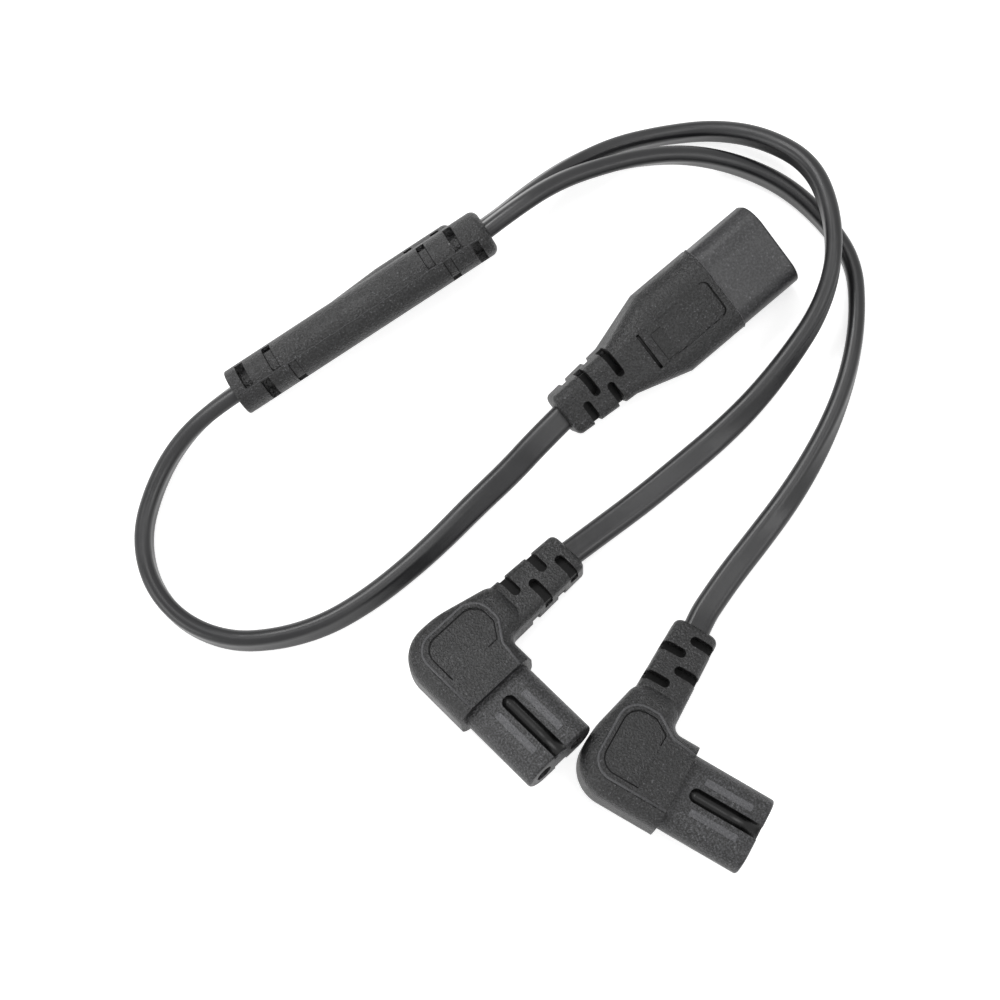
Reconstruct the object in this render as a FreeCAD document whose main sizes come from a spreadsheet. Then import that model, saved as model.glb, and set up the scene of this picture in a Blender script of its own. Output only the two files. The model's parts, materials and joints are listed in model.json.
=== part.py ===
import FreeCAD, Part
import math
import os
import Sketcher
from FreeCAD import Placement, Rotation, Vector

# Driving sizes in millimetres and degrees, each written once
SIZES = {
    # figure-eight interface, shared by the inlet and both plugs
    "pin_diameter": 2.4,
    "pin_spacing": 8.6,
    "pin_reach": 9.0,
    "pin_shank_diameter": 3.0,
    "nose_width": 16.0,
    "nose_height": 7.5,
    "nose_length": 17.2,
    "nose_rim": 0.6,
    "mating_gap": 0.3,
    "key_width": 3.0,
    "key_depth": 1.5,
    "key_clearance": 0.5,
    "key_start": 2.3,
    "key_recess": 1.0,
    "contact_hole": 3.4,
    "contact_setback": 1.6,
    "contact_wall": 0.35,
    "contact_back": 0.8,
    "contact_bottom": 1.0,
    "slit_length": 8.0,
    "slit_width": 0.5,
    # flat two-core cord
    "cord_width": 5.4,
    "cord_thickness": 3.4,
    "cord_diameter": 4.5,
    "core_diameter": 1.9,
    "core_spacing": 2.3,
    "core_bend": 1.3,
    "core_turn": 3.0,
    "core_lead": 2.5,
    # inline inlet
    "inlet_width": 18.8,
    "inlet_height": 11.6,
    "inlet_corner": 4.8,
    "shroud_step": 0.25,
    "shroud_length": 14.4,
    "shroud_rim": 0.5,
    "cavity_depth": 13.2,
    "inlet_length": 13.5,
    "inlet_taper": 11.6,
    "inlet_relief": 13.9,
    "inlet_relief_width": 10.9,
    "inlet_relief_height": 10.6,
    "inlet_relief_corner": 2.6,
    "inlet_end_width": 9.2,
    "inlet_end_height": 8.0,
    "inlet_slot_width": 1.7,
    "inlet_slot_start": 0.5,
    "inlet_slot_pitch": 5.9,
    "insert_width": 15.0,
    "insert_height": 8.2,
    "insert_depth": 7.0,
    "pin_collar_diameter": 3.4,
    "pin_collar_length": 1.2,
    "tail_diameter": 2.8,
    "tail_length": 4.0,
    "panel_width": 8.2,
    "panel_length": 16.9,
    "panel_start": 1.4,
    "panel_depth": 0.3,
    "panel_slot": 0.7,
    "panel_corner": 1.6,
    # right-angle plugs
    "collar_width": 18.4,
    "elbow_height": 10.0,
    "elbow_back": 19.2,
    "elbow_top": 15.0,
    "elbow_corner": 7.5,
    "back_bend": 2.0,
    "back_bend_radius": 20.0,
    "back_lean": 3.1,
    "armpit": 5.9,
    "arch_corner": 3.8,
    "inner_corner": 1.9,
    "side_round": 3.5,
    "ridge_inset": 3.1,
    "ridge_rise": 0.3,
    "plateau_head": 9.8,
    "plateau_shoulder": 9.5,
    "plateau_neck": 7.0,
    "plateau_neck_start": 5.5,
    "plateau_front": 6.2,
    "plateau_corner": 4.0,
    "label_depth": 0.25,
    "label_front": 6.5,
    "label_back": 15.3,
    "label_foot": 5.0,
    "label_head": 9.0,
    "label_shoulder": 9.6,
    "label_neck": 6.8,
    "label_corner": 3.4,
    "arm_start": 10.0,
    "arm_centre": 11.0,
    "arm_width": 10.2,
    "arm_height": 7.8,
    "arm_end_width": 9.2,
    "arm_end_height": 6.8,
    "arm_end": 30.0,
    "relief_corner": 2.0,
    "relief_round": 1.2,
    "slot_width": 2.0,
    "slot_overreach": 0.3,
    "slot_start": 16.4,
    "slot_pitch": 7.0,
    "block_width": 14.0,
    "block_height": 6.4,
    "block_depth": 4.5,
    # inline splitter
    "lobe_diameter": 9.6,
    "splitter_length": 58.0,
    "lobe_spacing": 7.4,
    "lobe_setback": 5.6,
    "lobe_length": 17.0,
    "lobe_blend": 20.0,
    "blend_diameter": 8.4,
    "lobe_round": 1.6,
    "rim_round": 0.4,
    "window_width": 1.8,
    "window_depth": 1.9,
    "window_start": 2.5,
    "window_stagger": 3.1,
    "window_span": 72.0,
    "window_tilt": 51.0,
    "window_side_span": 33.0,
    "window_side_tilt": 31.5,
    "window_notch_span": 18.0,
    "window_notch_tilt": 23.0,
    "window_shallow": 0.3,
    "mould_start": 15.0,
    "mould_length": 22.0,
    "mould_width": 7.0,
    "mould_height": 6.2,
    "mould_corner": 1.5,
    "crimp_start": 22.0,
    "crimp_length": 7.0,
    "crimp_width": 5.7,
    "crimp_height": 2.3,
    "crimp_spacing": 2.5,
    "branch_core_spread": 3.4,
}

# Where each moulding lies: place of its reference point, then heading, pitch and roll in degrees
INLET_AT = (39.90, 18.80)
INLET_TURN = (0.0, 0.0, 20.0)
SPLITTER_AT = (-44.25, 63.50)
SPLITTER_TURN = (-8.3, -7.3, 19.0)
PLUGS = {
    "a": {"at": (-44.00, -14.20), "turn": (-85.2, -13.0, -9.5)},
    "b": {"at": (-30.15, -49.60), "turn": (-70.6, 0.0, -16.0)},
}

# Free stretches of the three cords, between the straight leads that leave the mouldings
LEAD = 6.5
SHORT_LEAD = 2.6
TRUNK_ROUTE = [
    (-13.6, 17.5, 5.2),
    (-22.7, 17.1, 3.7),
    (-32.5, 16.3, 2.8),
    (-41.6, 16.0, 2.7),
    (-51.1, 16.4, 2.7),
    (-60.5, 18.1, 2.7),
    (-69.2, 22.0, 2.7),
    (-76.6, 27.8, 2.7),
    (-81.0, 36.5, 2.7),
    (-81.0, 46.1, 2.7),
    (-76.4, 54.7, 2.7),
    (-68.5, 60.3, 3.2),
    (-59.9, 63.7, 4.3),
]
BRANCH_A_ROUTE = [
    (25.2, 57.6, 7.1),
    (35.1, 57.4, 5.4),
    (45.0, 54.4, 3.9),
    (54.1, 49.5, 3.2),
    (62.4, 43.4, 4.5),
    (68.2, 35.3, 6.8),
    (70.8, 25.2, 9.6),
    (67.4, 15.6, 10.9),
    (61.0, 7.2, 10.1),
    (52.6, 1.8, 7.9),
    (42.7, -1.0, 5.7),
    (32.6, -2.9, 3.9),
    (22.7, -3.6, 2.8),
    (12.3, -3.5, 2.7),
    (1.9, -3.3, 2.7),
]
BRANCH_B_ROUTE = [
    (29.1, 53.8, 13.8),
    (38.2, 51.3, 11.6),
    (47.4, 47.3, 9.1),
    (55.4, 41.8, 6.5),
    (61.8, 34.2, 4.3),
    (66.1, 25.3, 2.8),
    (67.2, 15.1, 2.7),
    (65.9, 5.2, 2.7),
    (59.4, -3.1, 2.7),
    (51.8, -9.6, 2.7),
    (43.2, -14.8, 2.7),
    (34.0, -18.8, 2.7),
    (24.5, -21.8, 2.7),
    (14.8, -23.9, 2.7),
    (6.4, -25.6, 2.7),
    (0.0, -26.9, 2.6),
]


class Size:
    """A length held both as a number and as the sheet expression that gives it."""

    def __init__(self, number, text):
        self.number = number
        self.text = text

    def _with(self, other, sign, result):
        text = other.text if isinstance(other, Size) else repr(float(other))
        return Size(result, f"({self.text} {sign} {text})")

    def __add__(self, other):
        return self._with(other, "+", self.number + plain(other))

    def __sub__(self, other):
        return self._with(other, "-", self.number - plain(other))

    def __mul__(self, other):
        return self._with(other, "*", self.number * plain(other))

    def __truediv__(self, other):
        return self._with(other, "/", self.number / plain(other))

    def __neg__(self):
        return Size(-self.number, f"(0 - {self.text})")


def plain(value):
    """The bare number of a size or of a number."""
    return value.number if isinstance(value, Size) else float(value)


def make_sheet(document):
    """Write every driving size into the sheet under its own alias."""
    sheet = document.addObject("Spreadsheet::Sheet", "sizes")
    for row, (alias, number) in enumerate(SIZES.items(), start=1):
        sheet.set(f"A{row}", alias)
        sheet.set(f"B{row}", str(number))
        sheet.setAlias(f"B{row}", alias)
    document.recompute()
    return {alias: Size(float(sheet.get(alias)), f"sizes.{alias}") for alias in SIZES}


doc = FreeCAD.newDocument("figure_eight_lead")
S = make_sheet(doc)
parts = []


def keep(piece, label):
    """Name a finished sub-part and list it for export."""
    piece.Label = label
    parts.append(piece)
    return piece


def new_body(name, place):
    body = doc.addObject("PartDesign::Body", name)
    body.Placement = place
    return body


def sketch_on(body, plane, name, offset=None, across=None):
    """A sketch on the body's own origin plane, moved along the plane's normal or across it."""
    sketch = body.newObject("Sketcher::SketchObject", name)
    support = next(item for item in body.Origin.OriginFeatures if item.Role == plane)
    sketch.AttachmentSupport = (support, "")
    sketch.MapMode = "FlatFace"
    if offset is not None:
        sketch.setExpression(".AttachmentOffset.Base.z", offset.text)
    if across is not None:
        sketch.setExpression(".AttachmentOffset.Base.x", across.text)
    return sketch


def drive(sketch, kind, *where, size):
    """Add a driving dimension and bind it to the sheet."""
    index = sketch.addConstraint(Sketcher.Constraint(kind, *where, size.number))
    sketch.setExpression(f"Constraints[{index}]", size.text)


def line(start, end):
    return Part.LineSegment(Vector(*start, 0), Vector(*end, 0))


def arc(centre, radius, start, sweep):
    """An arc that runs counter-clockwise from start over sweep, in degrees."""
    circle = Part.Circle(Vector(*centre, 0), Vector(0, 0, 1), radius)
    return Part.ArcOfCircle(circle, math.radians(start), math.radians(start + sweep))


def rounded_rect(sketch, width, height, corner):
    """A centred rectangle with four equal round corners."""
    across = width.number / 2
    up = height.number / 2
    r = corner.number
    sketch.addGeometry([
        line((r - across, -up), (across - r, -up)),
        arc((across - r, r - up), r, -90, 90),
        line((across, r - up), (across, up - r)),
        arc((across - r, up - r), r, 0, 90),
        line((across - r, up), (r - across, up)),
        arc((r - across, up - r), r, 90, 90),
        line((-across, up - r), (-across, r - up)),
        arc((r - across, r - up), r, 180, 90),
    ], False)
    for index in range(8):
        sketch.addConstraint(Sketcher.Constraint("Tangent", index, 2, (index + 1) % 8, 1))
    for index in (0, 4):
        sketch.addConstraint(Sketcher.Constraint("Horizontal", index))
        sketch.addConstraint(Sketcher.Constraint("Vertical", index + 2))
    for index in (3, 5, 7):
        sketch.addConstraint(Sketcher.Constraint("Equal", 1, index))
    sketch.addConstraint(Sketcher.Constraint("Symmetric", 1, 3, 5, 3, -1, 1))
    drive(sketch, "Radius", 1, size=corner)
    drive(sketch, "DistanceX", 6, 1, 2, 1, size=width)
    drive(sketch, "DistanceY", 0, 1, 4, 1, size=height)


def stadium(sketch, width, height):
    """A centred stadium: two straight sides joined by half circles."""
    r = height.number / 2
    reach = width.number / 2 - r
    sketch.addGeometry([
        line((-reach, -r), (reach, -r)),
        arc((reach, 0), r, -90, 180),
        line((reach, r), (-reach, r)),
        arc((-reach, 0), r, 90, 180),
    ], False)
    for index in range(4):
        sketch.addConstraint(Sketcher.Constraint("Tangent", index, 2, (index + 1) % 4, 1))
    sketch.addConstraint(Sketcher.Constraint("Horizontal", 0))
    sketch.addConstraint(Sketcher.Constraint("Equal", 1, 3))
    sketch.addConstraint(Sketcher.Constraint("Symmetric", 3, 3, 1, 3, -1, 1))
    drive(sketch, "Radius", 1, size=height / 2)
    drive(sketch, "DistanceX", 3, 3, 1, 3, size=width - height)


def circle_at(sketch, diameter, across=None, up=None):
    """A circle at the sketch's origin, or moved across or up from it by a driven distance."""
    number = len(sketch.Geometry)
    centre = Vector(plain(across or 0), plain(up or 0), 0)
    sketch.addGeometry(Part.Circle(centre, Vector(0, 0, 1), diameter.number / 2), False)
    drive(sketch, "Diameter", number, size=diameter)
    for axis, kind, moved in ((-2, "DistanceX", across), (-1, "DistanceY", up)):
        if moved is None:
            sketch.addConstraint(Sketcher.Constraint("PointOnObject", number, 3, axis))
        else:
            drive(sketch, kind, -1, 1, number, 3, size=moved)


def rounded_outline(sketch, corners):
    """A closed outline through (x, y, radius) corners, each rounded by a tangent arc."""
    count = len(corners)
    points = [Vector(plain(x), plain(y), 0) for x, y, _ in corners]
    radii = [plain(radius) for _, _, radius in corners]
    ends = []
    arcs = []
    for index, point in enumerate(points):
        back = (points[index - 1] - point).normalize()
        ahead = (points[(index + 1) % count] - point).normalize()
        half = back.getAngle(ahead) / 2
        trim = radii[index] / math.tan(half)
        start = point + back * trim
        end = point + ahead * trim
        ends.append((start, end))
        if radii[index] > 0:
            middle = point + (back + ahead).normalize() * (radii[index] / math.sin(half) - radii[index])
            arcs.append(Part.Arc(start, middle, end))
        else:
            arcs.append(None)
    chain = []
    for index in range(count):
        if arcs[index] is not None:
            chain.append(arcs[index])
        chain.append(Part.LineSegment(ends[index][1], ends[(index + 1) % count][0]))
    sketch.addGeometry(chain, False)


def pad(body, sketch, name, length, both=False, reverse=False):
    feature = body.newObject("PartDesign::Pad", name)
    feature.Profile = sketch
    feature.setExpression("Length", length.text)
    feature.Midplane = both
    feature.Reversed = reverse
    return feature


def pocket(body, sketch, name, length, both=False, reverse=False):
    feature = body.newObject("PartDesign::Pocket", name)
    feature.Profile = sketch
    feature.setExpression("Length", length.text)
    feature.Midplane = both
    feature.Reversed = reverse
    return feature


def loft(body, name, first, last):
    feature = body.newObject("PartDesign::AdditiveLoft", name)
    feature.Profile = first
    feature.Sections = [last]
    feature.Ruled = True
    return feature


def fillet(body, base, name, radius, choose):
    """Round the edges of the last feature that the choose function picks."""
    doc.recompute()
    edges = [f"Edge{n}" for n, edge in enumerate(base.Shape.Edges, start=1) if choose(edge)]
    feature = body.newObject("PartDesign::Fillet", name)
    feature.Base = (base, edges)
    feature.setExpression("Radius", radius.text)
    return feature


def near(value, target):
    return abs(value - plain(target)) < 1e-4


def turned(heading, pitch, roll):
    """Roll about X first, then pitch about Y, then heading about Z."""
    return (
        Rotation(Vector(0, 0, 1), heading)
        * Rotation(Vector(0, 1, 0), pitch)
        * Rotation(Vector(1, 0, 0), roll)
    )


def lay_on_floor(form, at):
    """Move an already turned form to its place, its lowest point on the floor."""
    doc.recompute()
    lowest = form.Shape.optimalBoundingBox().ZMin
    form.Placement = Placement(Vector(*at, -lowest), form.Placement.Rotation)
    print("placed", form.Label, form.Placement.Base, form.Placement.Rotation.Q)
    return form.Placement


def cut_out(name, form, tools):
    """A moulding with the room for everything that it is moulded round."""
    fused = doc.addObject("Part::MultiFuse", f"{name}_room")
    fused.Shapes = tools
    cut = doc.addObject("Part::Cut", name)
    cut.Base = form
    cut.Tool = fused
    return keep(cut, name)


def rounded_path(points, radius_at):
    """Straight runs through the points, joined by tangent arcs of the radius that radius_at gives.

    The function is handed the shorter run's length and half the angle between the two runs."""
    chain = []
    start = points[0]
    for before, corner, after in zip(points, points[1:], points[2:]):
        back = before - corner
        ahead = after - corner
        shorter = min(back.Length, ahead.Length)
        back.normalize()
        ahead.normalize()
        half = back.getAngle(ahead) / 2
        radius = radius_at(shorter, half)
        trim = radius / math.tan(half)
        middle = corner + (back + ahead).normalize() * (radius / math.sin(half) - radius)
        chain.append(Part.LineSegment(start, corner + back * trim))
        chain.append(Part.Arc(corner + back * trim, middle, corner + ahead * trim))
        start = corner + ahead * trim
    chain.append(Part.LineSegment(start, points[-1]))
    return chain


def core_wire(name, place, plane, offset, shift, points, bend):
    """An insulated core: a round wire along straight runs joined by arcs in the body's XY plane."""
    body = new_body(name, place)
    spine = sketch_on(body, "XY_Plane", f"{name}_spine")
    points = [Vector(plain(x), plain(y), 0) for x, y in points]
    spine.addGeometry(rounded_path(points, lambda shorter, half: bend), False)
    section = sketch_on(body, plane, f"{name}_section", offset)
    circle_at(section, S["core_diameter"], across=shift)
    pipe = body.newObject("PartDesign::AdditivePipe", f"{name}_pipe")
    pipe.Profile = section
    pipe.Spine = spine
    return keep(body, name)


def revolved(name, place, outline):
    """A turned piece: an outline of (x, radius, corner radius) points spun about the X axis."""
    body = new_body(name, place)
    profile = sketch_on(body, "XY_Plane", f"{name}_profile")
    rounded_outline(profile, outline)
    spin = body.newObject("PartDesign::Revolution", f"{name}_spin")
    spin.Profile = profile
    spin.ReferenceAxis = (profile, ["H_Axis"])
    spin.Angle = 360.0
    return body


def finger_slots(body, name, spots, width, outer, reach, height):
    """Cross slots of a strain relief, open at one side and round at their inner end.

    Each spot is the function that turns (along, across) into sketch coordinates,
    the slot's place along the arm and the side, 1 or -1, that it opens to above.
    Below the middle plane the same slot opens to the other side."""
    half = width.number / 2
    for word, turn in (("upper", 1), ("lower", -1)):
        sketch = sketch_on(body, "XY_Plane", f"{name}_{word}_outline")
        for to_sketch, along, side in spots:
            mouth = side * turn * outer.number
            bottom = -side * turn * reach.number
            corners = [
                (along - half, mouth, 0.0),
                (along + half, mouth, 0.0),
                (along + half, bottom, half * 0.98),
                (along - half, bottom, half * 0.98),
            ]
            rounded_outline(sketch, [(*to_sketch(a, c), r) for a, c, r in corners])
        pocket(body, sketch, f"{name}_{word}", height, reverse=turn > 0)


def inlet_pin(name, place):
    """A round pin with a ball end, a thicker shank with a locking collar and a crimp tail."""
    pin = S["pin_diameter"] / 2
    shank = S["pin_shank_diameter"] / 2
    floor = S["shroud_length"] - S["cavity_depth"]
    tip = floor + S["pin_reach"]
    back = -S["insert_depth"]
    collar = back + S["insert_depth"] / 2
    body = revolved(name, place, [
        (back - S["tail_length"], 0, 0),
        (tip, 0, 0),
        (tip, pin, pin * 0.9),
        (floor, pin, 0),
        (floor, shank, 0),
        (collar + S["pin_collar_length"], shank, 0),
        (collar + S["pin_collar_length"], S["pin_collar_diameter"] / 2, 0),
        (collar, S["pin_collar_diameter"] / 2, 0),
        (collar, shank, 0),
        (back, shank, 0),
        (back, S["tail_diameter"] / 2, 0),
        (back - S["tail_length"], S["tail_diameter"] / 2, 0.3),
    ])
    return keep(body, name)


def inlet_shroud_form(place):
    """The hard shroud: outer wall, figure-eight cavity with two key ribs, and the block behind."""
    step = S["shroud_step"]
    body = new_body("inlet_shroud_form", place)
    wall = sketch_on(body, "YZ_Plane", "shroud_wall")
    rounded_rect(
        wall, S["inlet_width"] - step * 2, S["inlet_height"] - step * 2, S["inlet_corner"] - step
    )
    outer = pad(body, wall, "shroud_outer", S["shroud_length"])
    fillet(
        body, outer, "shroud_mouth", S["shroud_rim"],
        lambda edge: near(edge.BoundBox.XMin, S["shroud_length"]),
    )
    block = sketch_on(body, "YZ_Plane", "insert_block")
    rounded_rect(block, S["insert_width"], S["insert_height"], S["relief_corner"])
    pad(body, block, "insert", S["insert_depth"], reverse=True)
    mouth = sketch_on(body, "YZ_Plane", "cavity_outline", S["shroud_length"])
    gap = S["mating_gap"] * 2
    stadium(mouth, S["nose_width"] + gap, S["nose_height"] + gap)
    pocket(body, mouth, "cavity", S["cavity_depth"])
    ribs = sketch_on(body, "YZ_Plane", "key_outline", S["shroud_length"] - S["cavity_depth"])
    half = (S["key_width"] / 2 - S["mating_gap"]).number
    roof = (S["nose_height"] / 2 + S["mating_gap"]).number
    edge = (S["nose_height"] / 2 - S["key_depth"] + S["key_clearance"]).number
    for side in (1, -1):
        rounded_outline(ribs, [
            (-half, side * (roof + S["mating_gap"].number), 0),
            (half, side * (roof + S["mating_gap"].number), 0),
            (half, side * edge, half * 0.6),
            (-half, side * edge, half * 0.6),
        ])
    pad(body, ribs, "key_ribs", S["cavity_depth"] - S["key_recess"])
    return body


def inlet_housing_form(place):
    """The soft overmould: a full section behind the shroud, a taper and a slotted strain relief."""
    body = new_body("inlet_housing_form", place)
    shoulder = -S["inlet_length"]
    waist = shoulder - S["inlet_taper"]
    end = waist - S["inlet_relief"]
    front = sketch_on(body, "YZ_Plane", "housing_front")
    rounded_rect(front, S["inlet_width"], S["inlet_height"], S["inlet_corner"])
    pad(body, front, "housing_grip", S["inlet_length"], reverse=True)
    stations = []
    for name, place_x, width, height, corner in (
        ("housing_shoulder", shoulder, "inlet_width", "inlet_height", "inlet_corner"),
        ("housing_waist", waist, "inlet_relief_width", "inlet_relief_height", "inlet_relief_corner"),
        ("housing_end", end, "inlet_end_width", "inlet_end_height", "relief_corner"),
    ):
        station = sketch_on(body, "YZ_Plane", name, place_x)
        rounded_rect(station, S[width], S[height], S[corner])
        stations.append(station)
    loft(body, "housing_taper", stations[0], stations[1])
    waist_again = sketch_on(body, "YZ_Plane", "relief_root", waist)
    rounded_rect(
        waist_again, S["inlet_relief_width"], S["inlet_relief_height"], S["inlet_relief_corner"]
    )
    relief = loft(body, "housing_relief", waist_again, stations[2])
    fillet(
        body, relief, "relief_rim", S["relief_round"],
        lambda edge: near(edge.BoundBox.XMax, end),
    )
    first = waist - S["inlet_slot_start"]
    pitch = S["inlet_slot_pitch"]
    spots = [
        ((lambda along, across: (along, across)), (first - pitch * step).number, side)
        for step, side in ((0, 1), (1, 1), (0.5, -1), (1.5, -1))
    ]
    finger_slots(
        body, "inlet_slots", spots, S["inlet_slot_width"], S["inlet_width"],
        S["slot_overreach"], S["inlet_height"],
    )
    filling = sketch_on(body, "YZ_Plane", "sheath_outline", end)
    stadium(filling, S["cord_width"], S["cord_thickness"])
    pad(body, filling, "sheath_in_relief", S["inlet_relief"] + S["inlet_slot_width"])
    label_outline(body)
    return body


def label_outline(body):
    """The bare label panel on the inlet's top, closed at its rear by a narrow deeper slot."""
    top = S["inlet_height"] / 2
    front = -S["panel_start"].number
    rear = front - S["panel_length"].number
    half = S["panel_width"].number / 2
    slot = S["panel_slot"].number
    panel = sketch_on(body, "XY_Plane", "panel_outline", top)
    rounded_outline(panel, [
        (rear, -half, 0),
        (front, -half, S["panel_corner"]),
        (front, half, S["panel_corner"]),
        (rear, half, 0),
    ])
    pocket(body, panel, "panel", S["panel_depth"])
    slit = sketch_on(body, "XY_Plane", "panel_slot_outline", top)
    rounded_outline(slit, [
        (rear - slot, -half, 0), (rear, -half, 0), (rear, half, 0), (rear - slot, half, 0),
    ])
    pocket(body, slit, "panel_rear_slot", S["panel_depth"] * 4)


def build_inlet():
    form = inlet_housing_form(Placement(Vector(0, 0, 0), turned(*INLET_TURN)))
    place = lay_on_floor(form, INLET_AT)
    shroud = inlet_shroud_form(place)
    pins = []
    cores = []
    tail_end = -(S["insert_depth"] + S["tail_length"])
    end = -(S["inlet_length"] + S["inlet_taper"] + S["inlet_relief"])
    for side, word in ((1, "left"), (-1, "right")):
        across = S["pin_spacing"] / 2 * side
        inner = S["core_spacing"] / 2 * side
        pin_place = place * Placement(Vector(0, across.number, 0), Rotation())
        pins.append(inlet_pin(f"inlet_pin_{word}", pin_place))
        bend_at = tail_end.number - S["core_lead"].number
        meet_at = end.number + S["inlet_relief"].number
        cores.append(core_wire(
            f"inlet_core_{word}", place, "YZ_Plane", end, inner,
            [(end, inner), (meet_at, inner), (bend_at, across), (tail_end, across)],
            S["core_bend"].number,
        ))
    keep_cut = cut_out("inlet_shroud", shroud, pins)
    cut_out("inlet_housing", form, [keep_cut] + pins + cores)
    return place


def elbow_form(letter):
    """The soft elbow of a plug: a flat body round in plan, with a slotted relief along its arm."""
    place = Placement(Vector(0, 0, 0), turned(*PLUGS[letter]["turn"]))
    body = new_body(f"plug_{letter}_elbow_form", place)
    half = S["collar_width"] / 2
    back = -S["elbow_back"]
    outline = sketch_on(body, "XY_Plane", "elbow_outline")
    rounded_outline(outline, [
        (0, -half, 0),
        (back, -half, S["elbow_corner"]),
        (back, S["back_bend"], S["back_bend_radius"]),
        (back + S["back_lean"], S["elbow_top"], S["arch_corner"]),
        (-S["armpit"], S["elbow_top"], S["arch_corner"]),
        (-S["armpit"], half, S["inner_corner"]),
        (0, half, 0),
    ])
    block = pad(body, outline, "elbow_block", S["elbow_height"], both=True)
    fillet(
        body, block, "elbow_sides", S["side_round"],
        lambda edge: near(edge.BoundBox.ZMin, edge.BoundBox.ZMax) and edge.BoundBox.XMin < -0.1,
    )
    ridge = S["ridge_inset"]
    top = S["elbow_height"] / 2 + S["ridge_rise"]
    plateau = sketch_on(body, "XY_Plane", "plateau_outline")
    rounded_outline(plateau, [
        (0, ridge - half, 0),
        (back + ridge, ridge - half, S["plateau_corner"]),
        (back + ridge, S["plateau_head"], S["plateau_corner"]),
        (-S["plateau_shoulder"], S["plateau_head"], S["relief_corner"]),
        (-S["plateau_neck_start"], S["plateau_neck"], S["relief_corner"]),
        (0, S["plateau_front"], 0),
    ])
    pad(body, plateau, "plateau", top * 2, both=True)
    centre = -S["arm_centre"]
    stations = []
    for name, along, width, height in (
        ("arm_root", "arm_start", "arm_width", "arm_height"),
        ("arm_tip", "arm_end", "arm_end_width", "arm_end_height"),
    ):
        station = sketch_on(body, "XZ_Plane", name, -S[along], centre)
        rounded_rect(station, S[width], S[height], S["relief_corner"])
        stations.append(station)
    arm = loft(body, "arm", *stations)
    fillet(
        body, arm, "arm_rim", S["relief_round"],
        lambda edge: near(edge.BoundBox.YMin, S["arm_end"]),
    )
    spots = [
        (
            (lambda along, across: (across + centre.number, along)),
            (S["slot_start"] + S["slot_pitch"] * step).number,
            side,
        )
        for step, side in ((0, -1), (1, -1), (0.5, 1), (1.5, 1))
    ]
    finger_slots(
        body, "arm_slots", spots, S["slot_width"], S["arm_width"],
        S["slot_overreach"], S["elbow_height"],
    )
    filling = sketch_on(body, "XZ_Plane", "sheath_outline", -S["arm_end"], centre)
    stadium(filling, S["cord_width"], S["cord_thickness"])
    pad(body, filling, "sheath_in_arm", S["arm_end"] - S["elbow_top"])
    recess = sketch_on(body, "XY_Plane", "label_outline", top)
    rounded_outline(recess, [
        (-S["label_front"], -S["label_foot"], S["label_depth"]),
        (-S["label_back"], -S["label_foot"], S["label_corner"]),
        (-S["label_back"], S["label_head"], S["label_corner"]),
        (-S["label_shoulder"], S["label_head"], S["label_corner"] / 2),
        (-S["label_front"], S["label_neck"], S["label_depth"]),
    ])
    pocket(body, recess, "label_recess", S["label_depth"])
    return body


def nose_form(letter, place):
    """The hard nose: a stadium bar with two key grooves and two contact holes, and its rear block."""
    body = new_body(f"plug_{letter}_nose_form", place)
    section = sketch_on(body, "YZ_Plane", "nose_section")
    stadium(section, S["nose_width"], S["nose_height"])
    bar = pad(body, section, "nose_bar", S["nose_length"])
    fillet(
        body, bar, "nose_tip", S["nose_rim"],
        lambda edge: near(edge.BoundBox.XMin, S["nose_length"]),
    )
    rear = sketch_on(body, "YZ_Plane", "block_outline")
    rounded_rect(rear, S["block_width"], S["block_height"], S["relief_corner"])
    pad(body, rear, "rear_block", S["block_depth"], reverse=True)
    face = S["nose_height"] / 2
    half = S["key_width"].number / 2
    tip = S["nose_length"].number + 1
    for name, height, down in (("upper", face, False), ("lower", -face, True)):
        groove = sketch_on(body, "XY_Plane", f"key_{name}_outline", height)
        rounded_outline(groove, [
            (S["key_start"], -half, half * 0.9),
            (tip, -half, 0),
            (tip, half, 0),
            (S["key_start"], half, half * 0.9),
        ])
        pocket(body, groove, f"key_{name}", S["key_depth"], reverse=down)
    spacing = S["pin_spacing"] / 2
    sleeve = S["pin_diameter"] + S["contact_wall"] * 2
    for name, diameter, depth in (
        ("mouth", S["contact_hole"], S["contact_setback"]),
        ("sleeve", sleeve, S["nose_length"] + S["contact_back"]),
    ):
        for side, word in ((1, "left"), (-1, "right")):
            hole = sketch_on(body, "YZ_Plane", f"{name}_{word}_outline", S["nose_length"])
            circle_at(hole, diameter, across=spacing * side)
            pocket(body, hole, f"{name}_{word}", depth)
    return body


def plug_contact(name, place):
    """A sprung tube contact with two slits at its mouth and a crimp barrel behind."""
    front = S["nose_length"] - S["contact_setback"]
    back = -S["contact_back"]
    tail = back - S["tail_length"]
    bore = S["pin_diameter"] / 2
    body = revolved(name, place, [
        (front, bore, 0.1),
        (front, bore + S["contact_wall"], 0.1),
        (tail, bore + S["contact_wall"], 0.3),
        (tail, 0, 0),
        (back + S["contact_bottom"], 0, 0),
        (back + S["contact_bottom"], bore, 0),
    ])
    slit = sketch_on(body, "XY_Plane", "slit_outline")
    half = S["slit_width"].number / 2
    start = (front - S["slit_length"]).number
    rounded_outline(slit, [
        (start, -half, 0), (front + 1, -half, 0), (front + 1, half, 0), (start, half, 0),
    ])
    pocket(body, slit, "slits", S["pin_diameter"] * 2, both=True)
    return keep(body, name)


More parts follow.
